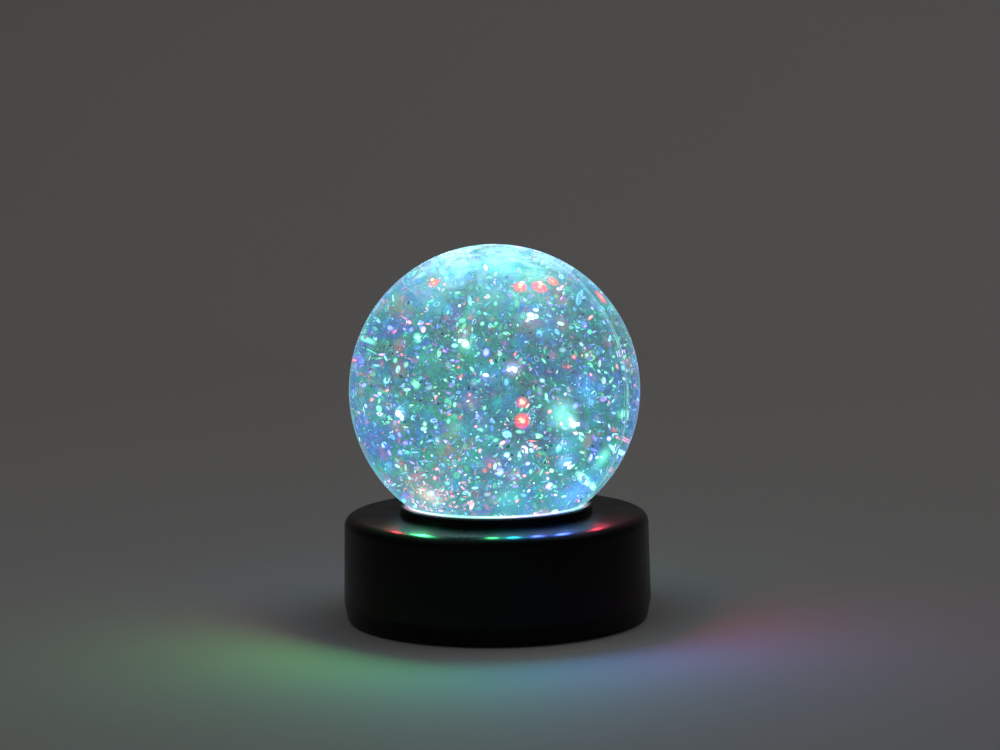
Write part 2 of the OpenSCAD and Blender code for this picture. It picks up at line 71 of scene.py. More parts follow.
# the first and no farther from the middle than the second, and their flakes no farther than the third
FLAKE_HALF = 0.06 * MM  # half of a flake's thickness at its rim
WATER_GLOW = (0.045, 0.070, 0.080)  # the light at a flake's rim, about that of the water behind it


# ---------------------------------------------------------------- helpers for objects and nodes

def show(name, data):
    """Put a mesh, a light or a camera in the scene."""
    made = bpy.data.objects.new(name, data)
    bpy.context.scene.collection.objects.link(made)
    return made


def show_smooth(name, mesh, materials):
    """Put a mesh in the scene, shaded smooth, with its materials."""
    for face in mesh.polygons:
        face.use_smooth = True
    for material in materials:
        mesh.materials.append(material)
    return show(name, mesh)


def piece(name, mesh, materials, body):
    """Put a mesh in the scene as one piece of a body."""
    made = show_smooth(name, mesh, materials)
    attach(made, body)
    return made


def mesh_of(name, bm):
    """Turn a bmesh into a mesh and let the bmesh go."""
    mesh = bpy.data.meshes.new(name)
    bm.to_mesh(mesh)
    bm.free()
    return mesh


class Shader:
    """A Principled material whose node tree is written in short calls."""

    def __init__(self, name, **values):
        self.mat = bpy.data.materials.new(name)
        self.mat.use_nodes = True
        self.tree = self.mat.node_tree
        self.bsdf = next(n for n in self.tree.nodes if n.type == "BSDF_PRINCIPLED")
        self.place = self.node("ShaderNodeTexCoord").outputs["Object"]
        for key, value in values.items():
            self.set(key.replace("_", " "), value)

    def plug(self, socket, value):
        """Link a socket to an output, or give it a constant."""
        if hasattr(value, "is_linked"):
            self.tree.links.new(value, socket)
        elif isinstance(value, tuple) and len(value) == 3 and socket.type == "RGBA":
            socket.default_value = (*value, 1)
        else:
            socket.default_value = value

    def set(self, socket, value):
        self.plug(self.bsdf.inputs[socket], value)

    def node(self, kind, **inputs):
        made = self.tree.nodes.new(kind)
        for key, value in inputs.items():
            self.plug(made.inputs[key.replace("_", " ")], value)
        return made

    def calc(self, op, a, b=0.0, clamp=False):
        made = self.node("ShaderNodeMath")
        made.operation = op
        made.use_clamp = clamp
        self.plug(made.inputs[0], a)
        self.plug(made.inputs[1], b)
        return made.outputs[0]

    def stretch(self, scale):
        """The object's own coordinates, scaled along each axis."""
        made = self.node("ShaderNodeMapping", Vector=self.place)
        made.inputs["Scale"].default_value = scale
        return made.outputs[0]

    def noise(self, scale, detail=3.0, rough=0.5, warp=0.0, at=None):
        made = self.node("ShaderNodeTexNoise", Vector=at or self.place, Scale=scale, Detail=detail,
                         Roughness=rough, Distortion=warp)
        return made.outputs["Fac"]

    def spread(self, value, low, high, to_low=0.0, to_high=1.0, smooth=False):
        """Map low..high to to_low..to_high, held at both ends."""
        made = self.tree.nodes.new("ShaderNodeMapRange")
        made.interpolation_type = "SMOOTHSTEP" if smooth else "LINEAR"
        self.plug(made.inputs["Value"], value)
        made.inputs["From Min"].default_value = low
        made.inputs["From Max"].default_value = high
        made.inputs["To Min"].default_value = to_low
        made.inputs["To Max"].default_value = to_high
        return made.outputs["Result"]

    def ramp(self, value, stops, constant=False):
        made = self.node("ShaderNodeValToRGB", Fac=value)
        band = made.color_ramp
        band.interpolation = "CONSTANT" if constant else "LINEAR"
        while len(band.elements) < len(stops):
            band.elements.new(0.5)
        for element, (at, colour) in zip(band.elements, stops):
            element.position = at
            element.color = (*colour, 1)
        return made.outputs["Color"]

    def mix(self, fac, a, b, how="MIX"):
        made = self.tree.nodes.new("ShaderNodeMix")
        made.data_type = "RGBA"
        made.blend_type = how
        self.plug(made.inputs["Factor"], fac)
        self.plug(made.inputs[6], a)
        self.plug(made.inputs[7], b)
        return made.outputs[2]

    def add(self, share, a, b):
        return self.mix(share, a, b, "ADD")

    def apart(self):
        """The object's own x, y and height above the table."""
        return self.node("ShaderNodeSeparateXYZ", Vector=self.place).outputs

    def slant(self):
        """0 where the surface faces the eye, 1 where it is seen edge on."""
        return self.node("ShaderNodeLayerWeight", Blend=0.5).outputs["Facing"]

    def bump(self, value, strength, distance):
        made = self.node("ShaderNodeBump", Strength=strength, Distance=distance, Height=value)
        self.set("Normal", made.outputs["Normal"])


# ---------------------------------------------------------------- camera

def aim_camera():
    """The photo's view: from the front, a little above the lamp and rolled a little."""
    distance, rise, roll = 0.9, math.radians(6.53), math.radians(-0.84)
    target = Vector((1.96 * MM, 0, 84.25 * MM))
    forward = Vector((0, math.cos(rise), -math.sin(rise)))
    right = Vector((1, 0, 0))
    up = right.cross(forward)
    side = math.cos(roll) * right + math.sin(roll) * up
    top = -math.sin(roll) * right + math.cos(roll) * up
    data = bpy.data.cameras.new("camera")
    data.sensor_width = 36
    data.lens = 94.3
    data.clip_start = 0.01
    cam = show("camera", data)
    cam.matrix_world = Matrix((
        (side.x, top.x, -forward.x, 0),
        (side.y, top.y, -forward.y, 0),
        (side.z, top.z, -forward.z, 0),
        (0, 0, 0, 1),
    ))
    cam.location = target - distance * forward
    bpy.context.scene.camera = cam


# ---------------------------------------------------------------- the light on the ball's wall

# Where bright flakes and beams light up the wall: across and up from the ball's middle, the patch's radius
# (all mm), and its colour.
BRIGHT = [
    (22, -8, 8.0, (0.25, 1.25, 0.90)), (25, -11, 4.0, (0.40, 1.00, 0.90)), (36, -23, 6.5, (0.20, 1.15, 0.80)),
    (23, -24, 5.0, (0.15, 0.40, 1.00)), (9, -10, 3.2, (1.90, 0.00, 0.04)), (9, -4, 2.4, (1.20, 0.05, 0.10)),
    (15.5, 34, 3.4, (2.00, 0.05, 0.14)), (9, 34, 3.0, (1.50, 0.08, 0.20)), (20, 36, 2.7, (1.60, 0.08, 0.12)),
    (-19.5, 36, 2.6, (1.50, 0.10, 0.16)), (6, 7, 3.6, (0.25, 0.50, 0.90)), (-31, -7, 4.5, (0.15, 0.30, 0.75)),
    (-22, -35, 6.0, (0.50, 0.40, 0.16)), (-9, 15, 5.0, (0.16, 0.55, 0.30)), (28, -34, 14.0, (0.06, 0.18, 1.00)),
    (30, 0, 9.0, (0.04, 0.20, 0.60)), (2, 42, 10.0, (0.20, 1.20, 0.80)), (-11, 40, 10.0, (0.02, 0.40, 0.80)),
    (24, -18, 10.0, (0.03, 0.32, 0.45)), (-20, 30, 10.0, (0.00, 0.24, 0.16)), (4, -36, 10.0, (0.03, 0.25, 0.32)),
    (-2, 5, 8.0, (0.04, 0.06, 0.35)), (-12, -12, 9.0, (0.01, 0.16, 0.10)), (-2, -16, 8.0, (0.00, 0.18, 0.12)),
    (18, 20, 9.0, (0.02, 0.12, 0.30)), (-36, -30, 6.0, (0.22, 0.10, 0.12)), (12, 24, 6.0, (0.12, 0.12, 0.32)),
    (-24, -34, 15.0, (0.28, 0.06, 0.05)), (36.5, 31, 3.6, (1.60, 0.10, 0.10)), (40, -4, 9.0, (0.03, 0.08, 0.30)),
    (9, 48.4, 1.6, (1.60, 0.10, 0.10)), (15, 46.9, 1.3, (1.30, 0.10, 0.10)),
    (-24, 39, 3.2, (0.30, 0.75, 0.15)), (-35, 34, 2.6, (0.60, 0.45, 0.10)), (14, 40, 9.0, (0.06, 0.35, 0.22)),
]

# Colours of the bright line where the ball enters its ring, over half a turn; the other half repeats them.
HALF_RIM = [
    (0.00, (1.8, 0.25, 0.45)), (0.10, (1.2, 1.0, 1.1)), (0.19, (0.5, 1.7, 1.0)), (0.27, (1.2, 1.3, 1.6)),
    (0.34, (0.7, 0.55, 2.0)), (0.43, (0.5, 1.3, 1.6)),
]
FULL_RIM = [(start + at, colour) for start in (0.0, 0.5) for at, colour in HALF_RIM] + [(1.0, HALF_RIM[0][1])]


def on_wall(across, up, depth=0.0):
    """A place on the side of the ball's wall that faces -Y and a little upward, or a little inside it."""
    r = GLOBE_R - depth
    place = Vector((across * MM, -math.sqrt(max(r * r - (across ** 2 + up ** 2) * MM * MM, 0)), up * MM))
    place.rotate(Matrix.Rotation(PATCH_TILT, 3, "X"))
    return place + Vector((0, 0, GLOBE_Z))


def water_haze(s, x):
    """The dim light of the water: drifting blue and green, dusty, with two sizes of soft round spots."""
    drift = s.calc("ADD", s.noise(38, 3, 0.55, 0.8), s.spread(x, -GLOBE_R, GLOBE_R, -0.03, 0.05))
    haze = s.ramp(drift, [
        (0.28, (0.010, 0.020, 0.240)), (0.37, (0.004, 0.100, 0.120)), (0.44, (0.024, 0.045, 0.060)),
        (0.51, (0.000, 0.165, 0.085)), (0.58, (0.006, 0.080, 0.130)), (0.64, (0.004, 0.040, 0.300)),
        (0.72, (0.090, 0.030, 0.260)),
    ])
    haze = s.mix(s.spread(x, -GLOBE_R, GLOBE_R, 0.10, 0.35), haze, (0.004, 0.055, 0.140))
    dust = s.spread(s.noise(1400, 2, 0.6), 0.35, 0.65, 0.55, 1.45)
    grey = s.node("ShaderNodeCombineColor", Red=dust, Green=dust, Blue=dust).outputs[0]
    haze = s.mix(1.0, haze, grey, "MULTIPLY")
    for scale, reach, most in ((130, 0.60, 0.30), (270, 0.40, 0.45)):
        spots = s.node("ShaderNodeTexVoronoi", Vector=s.place, Scale=scale)
        share = s.spread(spots.outputs["Distance"], reach, 0.0, 0.0, most, smooth=True)
        pick = s.node("ShaderNodeSeparateColor", Color=spots.outputs["Color"]).outputs[0]
        tint = s.ramp(pick, [
            (0.0, (0.00, 0.42, 0.16)), (0.17, (0.01, 0.12, 0.75)), (0.34, (0.20, 0.05, 0.70)),
            (0.46, (0.05, 0.40, 0.45)), (0.54, (0.0, 0.0, 0.0)), (0.82, (0.70, 0.03, 0.09)),
        ], constant=True)
        haze = s.add(share, haze, tint)
    return haze


def streaky_cap(s, x, height):
    """How strongly the beams light the top of the ball, from 0 to about 1.2, and in which colour."""
    wavy = s.calc("ADD", height, s.spread(s.noise(45, 3, 0.6, 0.6), 0.3, 0.7, -5 * MM, 5 * MM))
    cap = s.spread(wavy, GLOBE_Z + 0.58 * GLOBE_R, GLOBE_Z + 1.02 * GLOBE_R, smooth=True)
    cap = s.calc("MULTIPLY", cap, s.spread(s.slant(), 0.0, 0.75, 0.30, 1.0))
    sideways = s.spread(s.calc("ABSOLUTE", x), 11 * MM, 30 * MM, 1.0, 0.28, smooth=True)
    cap = s.calc("MULTIPLY", cap, sideways)
    streaks = s.spread(s.noise(1.0, 5, 0.65, 1.2, at=s.stretch((120, 120, 200))), 0.36, 0.62, 0.15, 1.20)
    tint = s.ramp(s.noise(30, 1), [(0.40, (0.28, 0.48, 0.85)), (0.60, (0.50, 0.92, 0.74))])
    return s.calc("MULTIPLY", cap, streaks), tint


def add_patches(s, colour):
    """The patches of BRIGHT. The red ones cover the haze and have a yellow core, the others add to it."""
    for across, up, radius, tint in BRIGHT:
        away = s.node("ShaderNodeVectorMath")
        away.operation = "DISTANCE"
        s.plug(away.inputs[0], s.place)
        away.inputs[1].default_value = on_wall(across, up)
        near = s.spread(away.outputs["Value"], radius * MM, 0.0)
        if tint[0] > RED_ENOUGH:
            colour = s.mix(s.spread(near, 0.0, 0.70, smooth=True), colour, tint)
            colour = s.add(s.calc("POWER", near, 5.0), colour, (0.30, 0.95, 0.40))
        else:
            colour = s.add(s.calc("POWER", near, 1.8), colour, tint)
    return colour


def seam_highlights(s, x, y):
    """Two thin broken painted highlight lines, one at each edge of the rib that runs along the seam."""
    off_seam = s.calc("ABSOLUTE", s.calc("SUBTRACT", s.calc("MULTIPLY", y, math.cos(SEAM_TURN)),
                                         s.calc("MULTIPLY", x, math.sin(SEAM_TURN))))
    from_edge = s.calc("ABSOLUTE", s.calc("SUBTRACT", off_seam, RIB_REACH * MM))
    edge_highlight = s.calc("LESS_THAN", from_edge, SEAM_HIGHLIGHT_HALF)
    return s.calc("MULTIPLY", edge_highlight, s.spread(s.noise(45, 3), 0.35, 0.65, 0.15, 1.0))


def wall_glow(s):
    """All the light that the water throws on the ball's wall, painted into the wall's glow, with painted
    highlight lines along the seam and a painted sheen where the wall is seen edge on.
    """
    x, y, height = s.apart()
    patchy = s.spread(s.noise(60, 3, 0.55, 1.0), 0.38, 0.62, 0.3, 1.0)
    upper = s.spread(height, GLOBE_Z + 0.35 * GLOBE_R, GLOBE_Z + 0.95 * GLOBE_R, smooth=True)
    lower = s.spread(height, COLLAR_TOP + 27 * MM, COLLAR_TOP, smooth=True)
    rim = s.spread(height, COLLAR_TOP + 1.0 * MM, COLLAR_TOP + 0.2 * MM, smooth=True)
    turn = s.spread(s.calc("ARCTAN2", y, x), -math.pi, math.pi)

    colour = s.add(s.calc("MULTIPLY", upper, patchy), water_haze(s, x), (0.015, 0.195, 0.250))
    cap, cap_tint = streaky_cap(s, x, height)
    colour = s.add(cap, colour, cap_tint)
    colour = s.add(s.calc("MULTIPLY", lower, patchy), colour, (0.030, 0.150, 0.190))
    colour = add_patches(s, colour)
    colour = s.add(rim, colour, s.ramp(turn, FULL_RIM))
    # Painted highlight lines along both edges of the seam's rib.
    colour = s.add(seam_highlights(s, x, y), colour, (0.30, 0.40, 0.44))
    # Painted sheen: the wall glows bluer and brighter where it is seen edge on.
    return s.add(s.calc("POWER", s.slant(), 7.0), colour, (0.14, 0.20, 0.34))


# ---------------------------------------------------------------- the ball

def outer_wall():
    """The outer face of the wall, which shows the light of the water behind it, with painted highlights at the
    seam and along its outline.
    """
    s = Shader("clear_shell", Base_Color=(0.93, 0.98, 0.98), Roughness=0.0, IOR=WALL_IOR, Transmission_Weight=1.0)
    s.set("Emission Color", wall_glow(s))
    s.set("Emission Strength", 1.0)
    return s.mat


def wet_wall():
    """The inner face of the wall, which the water touches."""
    s = Shader("wet_wall", Base_Color=(0.97, 1.0, 1.0), Roughness=0.0, IOR=WET_IOR, Transmission_Weight=1.0)
    return s.mat


def joint_wall():
    """The joint's own faces: the halves are welded, so light passes them unbent. A faint milky weld shows."""
    s = Shader("weld", Roughness=0.0, IOR=1.0, Transmission_Weight=1.0, Specular_IOR_Level=0.0)
    s.set("Base Color", s.mix(s.noise(400, 2), (0.93, 0.97, 0.98), (1.0, 1.0, 1.0)))
    return s.mat


OUTSIDE, INSIDE, JOINT = range(3)  # the ball's material slots


def turns_of_half():
    """Angles over half a turn, close together near the seam at both ends."""
    from_seam = [0, 0.08, 0.16, 0.24, 0.4, 0.55, 0.7, 0.85, 1.2, 2.0, 3.2]
    turns = [math.asin(d * MM / GLOBE_R) for d in from_seam]
    step = math.radians(2.5)
    while turns[-1] + 1.5 * step < math.pi / 2:
        turns.append(turns[-1] + step)
    turns.append(math.pi / 2)
    return turns + [math.pi - t for t in reversed(turns[:-1])]


def ball_outlines(rows=96):
    """The wall's outer outline from the neck's end to the top, and its inner one from the top down."""
    drop = math.acos(NECK_R / GLOBE_R)
    outer = [(NECK_R, NECK_END)]
    for i in range(rows + 1):
        a = -drop + (math.pi / 2 + drop) * i / rows
        outer.append((GLOBE_R * math.cos(a), GLOBE_Z + GLOBE_R * math.sin(a)))
    inner_r = GLOBE_R - GLOBE_WALL
    drop = math.acos(NECK_BORE / inner_r)
    inner = []
    for i in range(rows + 1):
        a = math.pi / 2 - (math.pi / 2 + drop) * i / rows
        inner.append((inner_r * math.cos(a), GLOBE_Z + inner_r * math.sin(a)))
    inner.append((NECK_BORE, NECK_END))
    return outer, inner


def at_seam(r, z, turn, side):
    """The wall's radius at a turn: above the ring it has the seam's groove outside and its rib inside."""
    if z <= COLLAR_TOP + 2 * MM:
        return r
    from_seam = r * math.sin(turn) / MM
    if side == INSIDE:
        rise = min(max((RIB_REACH - from_seam) / RIB_SLOPE, 0), 1)
        return r - RIB_HEIGHT * MM * rise * r / (GLOBE_R - GLOBE_WALL)
    dip = min(max((GROOVE_REACH - from_seam) / GROOVE_SLOPE, 0), 1)
    return r - GROOVE_DEPTH * MM * dip * r / GLOBE_R


def add_sheet(bm, outline, turns, side):
    """One skin of the half wall, as rows of corners; the row at the pole is a single corner."""
    grid = []
    for r, z in outline:
        row = []
        for t in turns:
            if r < 1e-6 and row:
                row.append(row[0])
                continue
            here = at_seam(r, z, t, side)
            row.append(bm.verts.new((here * math.cos(t), here * math.sin(t), z)))
        grid.append(row)
    for a, b in zip(grid, grid[1:]):
        for i in range(len(turns) - 1):
            corners = [a[i], a[i + 1], b[i + 1], b[i]]
            corners = [v for k, v in enumerate(corners) if v not in corners[:k]]
            bm.faces.new(corners).material_index = side
    return grid


def half_shell(name, node, turn, materials):
    """One half of the ball and its neck, a closed wall."""
    turns = turns_of_half()
    outer, inner = ball_outlines()
    bm = bmesh.new()
    out_grid = add_sheet(bm, outer, turns, OUTSIDE)
    in_grid = add_sheet(bm, inner, turns, INSIDE)
    in_grid.reverse()
    for end in (0, -1):
        for k in range(len(out_grid) - 1):
            quad = [out_grid[k][end], out_grid[k + 1][end], in_grid[k + 1][end], in_grid[k][end]]
            bm.faces.new(quad).material_index = JOINT
    for i in range(len(turns) - 1):
        bm.faces.new([out_grid[0][i], in_grid[0][i], in_grid[0][i + 1], out_grid[0][i + 1]])
    bmesh.ops.recalc_face_normals(bm, faces=bm.faces)
    bmesh.ops.rotate(bm, verts=bm.verts, matrix=Matrix.Rotation(turn, 3, "Z"))
    made = piece(name, mesh_of(name, bm), materials, "lamp")
    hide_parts(node)


def make_ball():
    walls = [outer_wall(), wet_wall(), joint_wall()]
    half_shell("ball_rear", "globe_half_rear", SEAM_TURN, walls)
    half_shell("ball_front", "globe_half_front", SEAM_TURN + math.pi, walls)


# ---------------------------------------------------------------- glitter

def foil(name, one, two, white, rim=WATER_GLOW, strength=1.7, gleam=(1, 1, 1)):
    """Thin foil lit by the lamp, its light painted in as a glow. Each flake has its own mix of two colours and
    its own brightness, is brightest in the middle under a painted highlight, dims where seen edge on, and shifts
    a little in colour across its face."""
    s = Shader(name, Roughness=0.3, Metallic=0.5)
    flake = s.node("ShaderNodeAttribute")
    flake.attribute_name = "flake"
    share, power, core = s.node("ShaderNodeSeparateColor", Color=flake.outputs["Color"]).outputs
    shift = s.spread(s.noise(900, 1), 0.35, 0.65, -0.45, 0.45)
    tint = s.mix(s.calc("ADD", share, shift, clamp=True), one, two)
    ringed = s.calc("MULTIPLY", s.calc("SINE", s.calc("MULTIPLY", core, 2.6)), 0.9)
    near = s.mix(s.calc("GREATER_THAN", share, 0.70), s.spread(core, 0.0, 0.9, smooth=True), ringed)
    near = s.calc("MULTIPLY", near, s.calc("SUBTRACT", 1.0, s.calc("POWER", s.slant(), 3.0)))
    light = s.mix(s.calc("MULTIPLY", near, power), (0, 0, 0), tint)
    # Painted highlight: a white-hot middle on the brightest flakes.
    hot = s.calc("MULTIPLY", s.calc("POWER", near, 2.4), s.calc("MULTIPLY", power, power))
    light = s.add(s.calc("MULTIPLY", hot, white), light, gleam)
    s.set("Base Color", s.mix(0.7, tint, (0.05, 0.05, 0.05)))
    s.set("Emission Color", s.add(1.0, light, rim))
    s.set("Emission Strength", strength)
    return s.mat


def flake_points(centre, tilt, radius, wide, sides, hollow):
    """The corners and faces of one thin closed flake. Corners are (place, how near the middle 0..1)."""
    corners = []

    def loop(r, z, core):
        for k in range(sides):
            a = 2 * math.pi * k / sides
            corners.append((centre + tilt @ Vector((r * math.cos(a), wide * r * math.sin(a), z)), core))

    def band(a, b):
        return [(a * sides + k, a * sides + (k + 1) % sides, b * sides + (k + 1) % sides, b * sides + k)
                for k in range(sides)]

    if hollow:
        for r, z, core in ((1.0, 0, 0.15), (0.82, 1, 0.9), (0.6, 0, 0.15), (0.82, -1, 0.9)):
            loop(radius * r, FLAKE_HALF * z, core)
        return corners, band(0, 1) + band(1, 2) + band(2, 3) + band(3, 0)
    for r, z, core in ((0.6, -1.5, 0.55), (1.0, -0.6, 0.0), (1.0, 0.6, 0.0), (0.6, 1.5, 0.55)):
        loop(radius * r, FLAKE_HALF * z, core)
    for z in (-2, 2):
        corners.append((centre + tilt @ Vector((0, 0, z * FLAKE_HALF)), 1.0))
    low, high = 4 * sides, 4 * sides + 1
    faces = band(0, 1) + band(1, 2) + band(2, 3)
    faces += [(low, (k + 1) % sides, k) for k in range(sides)]
    faces += [(high, 3 * sides + k, 3 * sides + (k + 1) % sides) for k in range(sides)]
    return corners, faces


def add_flakes(name, flakes, material):
    """One piece from (place, tilt, radius, width, share, power, hollow) for each flake."""
    places, faces, notes = [], [], []
    for centre, tilt, radius, wide, share, power, hollow in flakes:
        sides = 6 if radius < 0.6 * MM else 8
        corners, own = flake_points(centre, tilt, radius, wide, sides, hollow)
        first = len(places)
        places.extend(c[0] for c in corners)
        notes.extend((share, power, c[1], 1.0) for c in corners)
        faces.extend(tuple(first + k for k in face) for face in own)
    mesh = bpy.data.meshes.new(name)
    mesh.from_pydata(places, [], faces)
    layer = mesh.attributes.new("flake", "FLOAT_COLOR", "POINT")
    layer.data.foreach_set("color", [v for note in notes for v in note])
    bm = bmesh.new()
    bm.from_mesh(mesh)
    bmesh.ops.recalc_face_normals(bm, faces=bm.faces)
    bm.to_mesh(mesh)
    bm.free()
    made = show_smooth(name, mesh, [material])
    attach(made, "water")
    return made


def place_in_water(rng):
    """A place for a flake: anywhere in the ball, more often near the wall, seldom close to the top."""
    reach = GLOBE_R - GLOBE_WALL - 1.8 * MM
    while True:
        p = Vector((rng.uniform(-1, 1), rng.uniform(-1, 1), rng.uniform(-1, 1)))
        if not 0.2 < p.length <= 1:
            continue
        if p.z > 0.5 and rng.random() < (p.z - 0.5) * 2.6:
            continue
        p = p * p.length ** -0.25 * reach
        p.z += GLOBE_Z
        if p.z > WATER_FLOOR + 1.5 * MM:
            return p


def any_tilt(rng):
    """A turn that points a flake in any direction."""
    return Matrix.Rotation(rng.uniform(0, 2 * math.pi), 3, "Z") @ Matrix.Rotation(
        math.acos(rng.uniform(-1, 1)), 3, "X") @ Matrix.Rotation(rng.uniform(0, 2 * math.pi), 3, "Z")


def scatter(name, count, sizes, powers, material, rng, hollow=False, warm=False):
    """A cloud of flakes in the water, most of them small and dim, a few large or bright, and brighter the
    nearer they are to the lights. A warm kind gathers at the lower left too."""
    flakes = []
    for _ in range(count):
        radius = (sizes[0] + (sizes[1] - sizes[0]) * rng.random() ** 1.8) * MM
        power = powers[0] + (powers[1] - powers[0]) * rng.random() ** 1.8
        place = place_in_water(rng)
        if warm and rng.random() < 0.22:
            across, up = max(rng.gauss(-19, 8), -28), max(rng.gauss(-32, 4), -37)
            room = GLOBE_R / MM - math.hypot(across, up)
            place = on_wall(across, up, rng.uniform(3.5, 0.9 * room) * MM)
        power *= 1.1 - 0.35 * (place.z - GLOBE_Z) / GLOBE_R
        flakes.append((place, any_tilt(rng), radius, rng.uniform(0.28, 1.0), rng.random(), power, hollow))
    return add_flakes(name, flakes, material)


def scatter_bright(rng):
    """Clusters of flakes that catch a beam squarely, one behind each small bright patch on the wall."""
    for name, one, two, gleam, red in (
        ("hot_cool", (0.30, 1.0, 0.75), (0.60, 0.90, 1.0), (1, 1, 1), False),
        ("hot_red", (1.0, 0.02, 0.02), (1.0, 0.20, 0.06), (0.9, 0.75, 0.3), True),
    ):
        flakes = []
        for across, up, radius, tint in BRIGHT:
            if radius > HOT_RADIUS or math.hypot(across, up) > HOT_REACH:
                continue
            if (tint[0] > RED_ENOUGH) != red:
                continue
            for k in range(2 if red else 4):
                spot = Vector((across + rng.uniform(-1, 1) * k * 0.8, up + rng.uniform(-1, 1) * k * 0.8))
                spot *= min(1, HOT_LIMIT / spot.length)
                centre = on_wall(spot.x, spot.y, 3.1 * MM + k * 0.5 * MM)
                outward = (centre - Vector((0, 0, GLOBE_Z))).normalized()
                tilt = outward.to_track_quat("Z", "Y").to_matrix()
                tilt = tilt @ Matrix.Rotation(rng.uniform(-0.5, 0.5), 3, "X")
                size = (0.22 * radius + 0.45 - 0.18 * k) * MM
                flakes.append((centre, tilt, size, rng.uniform(0.65, 0.95), rng.random(), 1.3, False))
        add_flakes("glitter_" + name, flakes, foil("foil_" + name, one, two, 0.9, strength=2.0, gleam=gleam))


def make_glitter():
    """Nine clouds of coloured flakes, one of rings, one of dark flakes, and the clusters that catch a beam."""
    rng = random.Random(SEED)
    kinds = [
        # name, colour, second colour, share of white in a hot middle, count, radii in mm, brightness
        ("mint", (0.00, 0.60, 0.14), (0.10, 1.0, 0.52), 0.45, 880, (0.48, 1.60), (0.12, 1.10)),
        ("white", (0.35, 0.95, 0.75), (0.65, 0.65, 1.0), 0.6, 320, (0.45, 1.45), (0.12, 1.0)),
        ("cyan", (0.00, 0.45, 0.60), (0.04, 0.55, 1.0), 0.45, 600, (0.48, 1.60), (0.12, 1.05)),
        ("blue", (0.00, 0.03, 0.85), (0.04, 0.20, 1.0), 0.35, 540, (0.46, 1.50), (0.18, 1.25)),
        ("violet", (0.20, 0.03, 0.85), (0.50, 0.18, 1.0), 0.4, 360, (0.42, 1.40), (0.15, 1.15)),
        ("red", (0.95, 0.00, 0.02), (1.0, 0.14, 0.10), 0.25, 330, (0.42, 1.15), (0.15, 1.3)),
        ("pink", (1.0, 0.06, 0.14), (1.0, 0.28, 0.45), 0.3, 230, (0.42, 1.25), (0.12, 1.1)),
        ("specks_green", (0.00, 0.75, 0.28), (0.08, 0.80, 0.80), 0.2, 900, (0.22, 0.55), (0.10, 0.8)),
        ("specks_blue", (0.02, 0.12, 0.95), (0.40, 0.25, 1.0), 0.2, 600, (0.22, 0.55), (0.12, 0.9)),
    ]
    for name, one, two, white, count, sizes, powers in kinds:
        material = foil("foil_" + name, one, two, white)
        warm = name in ("red", "pink", "white")
        scatter("glitter_" + name, count, sizes, powers, material, rng, warm=warm)
    scatter("glitter_rings", 110, (0.6, 1.1), (0.1, 0.7),
            foil("foil_rings", (0.25, 0.80, 0.80), (0.60, 0.45, 1.0), 0.4), rng, hollow=True)
    scatter("glitter_dark", 150, (0.35, 0.70), (0.0, 0.1),
            foil("foil_dark", (0.01, 0.02, 0.06), (0.03, 0.02, 0.05), 0.0, rim=(0.002, 0.003, 0.005)), rng)
    scatter_bright(rng)
    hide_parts("glitter_water")


# ---------------------------------------------------------------- plastics, rubber and metal

def moulded(name, colour, rough, grain=0.15, gloss=0.4):
    """Moulded plastic with a fine spark-eroded grain and a faint uneven sheen."""
    s = Shader(name)
    s.set("Base Color", s.mix(s.noise(35, 3), tuple(0.7 * c for c in colour), colour))
    s.set("Roughness", s.spread(s.noise(60, 4), 0.3, 0.7, rough - 0.05, rough + 0.06))
    s.set("Specular IOR Level", gloss)
    s.bump(s.noise(900, 2), grain, 0.05 * MM)
    return s.mat


def brushed(name, colour, rough=0.3):
    """Bare metal with fine upright brush lines."""
    s = Shader(name, Metallic=1.0)
    lines = s.noise(1, 3, at=s.stretch((900, 900, 60)))
    s.set("Base Color", s.mix(lines, tuple(0.8 * c for c in colour), colour))
    s.set("Roughness", s.spread(lines, 0.3, 0.7, rough - 0.07, rough + 0.1))
    s.bump(lines, 0.1, 0.02 * MM)
    return s.mat


def rubber(name, colour):
    """Dull rubber or the skin of a wire."""
    s = Shader(name)
    s.set("Base Color", s.mix(s.noise(300, 3), tuple(0.6 * c for c in colour), colour))
    s.set("Roughness", s.spread(s.noise(200, 3), 0.3, 0.7, 0.65, 0.85))
    s.bump(s.noise(1500, 2), 0.2, 0.03 * MM)
    return s.mat


def clear_plastic(name, colour, rough):
    """Clear plastic that lies in or against the water, so its index is low."""
    s = Shader(name, IOR=1.15, Transmission_Weight=1.0)
    s.set("Base Color", s.mix(s.noise(80, 2), tuple(0.9 * c for c in colour), colour))
    s.set("Roughness", s.spread(s.noise(120, 2), 0.3, 0.7, rough, rough + 0.05))
    return s.mat


def lit_diode(name, colour):
    """A light that is on: bright over the chip and softer towards the rim of the package."""
    s = Shader(name, Roughness=0.2, Base_Color=colour, Emission_Strength=6)
    glow = s.spread(s.apart()[2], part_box("led_red")[0].z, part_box("led_red")[1].z, 0.25, 1.0)
    s.set("Emission Color", s.mix(glow, (0, 0, 0), colour))
    return s.mat


def cell_wrap():
    """A cell's printed sleeve: dark in the middle and gold at both ends, no wording."""
    s = Shader("cell_wrap", Metallic=0.7)
    s.set("Base Color", s.ramp(s.spread(s.apart()[1], -22 * MM, 22 * MM), [
        (0.0, (0.55, 0.42, 0.10)), (0.28, (0.02, 0.02, 0.022)), (0.72, (0.55, 0.42, 0.10)),
    ], constant=True))
    s.set("Roughness", s.spread(s.noise(150, 3), 0.3, 0.7, 0.22, 0.34))
    return s.mat


